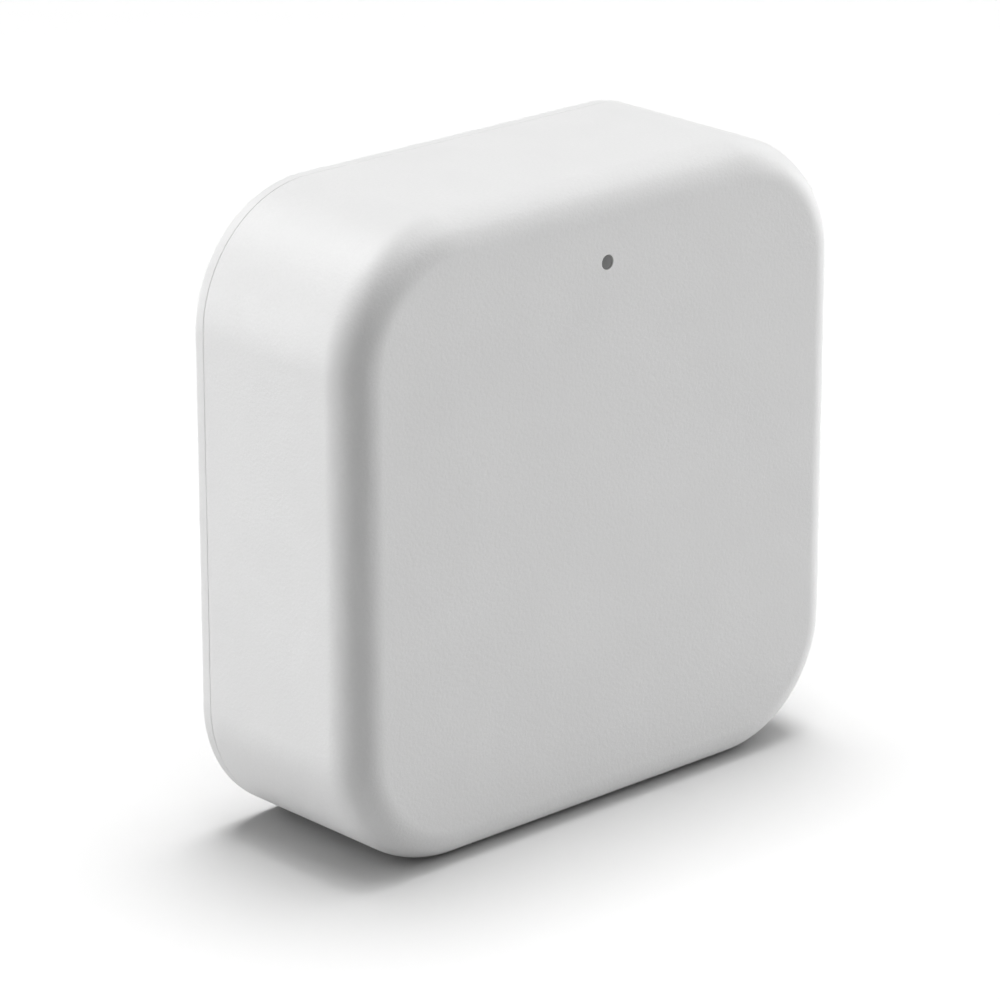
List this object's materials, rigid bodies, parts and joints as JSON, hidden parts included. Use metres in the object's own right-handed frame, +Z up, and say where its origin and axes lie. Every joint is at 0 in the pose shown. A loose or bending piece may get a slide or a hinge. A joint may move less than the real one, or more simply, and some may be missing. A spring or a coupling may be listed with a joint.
{
  "type": "smart home hub",
  "caption": "Small square wireless hub with large round corners and a soft front edge, a status light, a rear cable inlet and a recessed reset button; stands on its flat side.",
  "frame": {"origin": "middle of the underside, on the surface that the hub stands on", "axes": "+Z up; the front face with the status light looks along -Y, and the rear cover with the cable inlet looks along +Y; +X runs to the right as seen from the front"},
  "size_m": [0.07, 0.025, 0.07],
  "materials": {
    "white_plastic": "matte",
    "grey_button": "matte",
    "light_guide": "gloss",
    "black_rubber": "matte",
    "black_plastic": "satin",
    "green_board": "satin",
    "black_board": "satin",
    "steel": "satin",
    "zinc_screw": "satin",
    "aluminium_can": "satin",
    "ferrite": "matte",
    "ceramic": "matte",
    "tantalum": "satin",
    "label_film": "satin",
    "led_body": "gloss"
  },
  "bodies": {
    "root": {"front_shell": "white_plastic", "rear_cover": "white_plastic", "rear_label": "label_film", "light_pipe": "light_guide", "light_shroud": "black_rubber", "indicator_led": "led_body", "main_board": "green_board", "regulator": "black_plastic", "usb_protection_chip": "black_plastic", "power_inductor": "ferrite", "input_capacitor_base": "black_plastic", "input_capacitor_can": "aluminium_can", "output_capacitor": "tantalum", "input_fuse": "ceramic", "wifi_module_board": "black_board", "wifi_shield_can": "steel", "flash_chip": "black_plastic", "ble_chip": "black_plastic", "crystal": "steel", "antenna_chip": "ceramic", "usb_shell": "steel", "usb_insulator": "black_plastic", "tact_switch_base": "black_plastic", "tact_switch_frame": "steel", "cover_screw_1": "zinc_screw", "board_screw_1": "zinc_screw", "cover_screw_2": "zinc_screw", "board_screw_2": "zinc_screw", "cover_screw_3": "zinc_screw", "board_screw_3": "zinc_screw", "cover_screw_4": "zinc_screw", "board_screw_4": "zinc_screw"},
    "reset_button": {"reset_button": "grey_button"},
    "tact_switch_plunger": {"tact_switch_plunger": "black_plastic"}
  },
  "joints": [
    {"name": "reset_press", "type": "slide", "parent": "root", "child": "reset_button", "axis": [0, -1, 0], "range_m": [0, 0.0003], "stiffness_N_per_m": 600, "springref_m": -0.0012},
    {"name": "switch_travel", "type": "slide", "parent": "root", "child": "tact_switch_plunger", "axis": [0, -1, 0], "range_m": [0, 0.0003]}
  ],
  "couplings": [
    {"joint": "switch_travel", "follows": "reset_press", "ratio": 1}
  ]
}
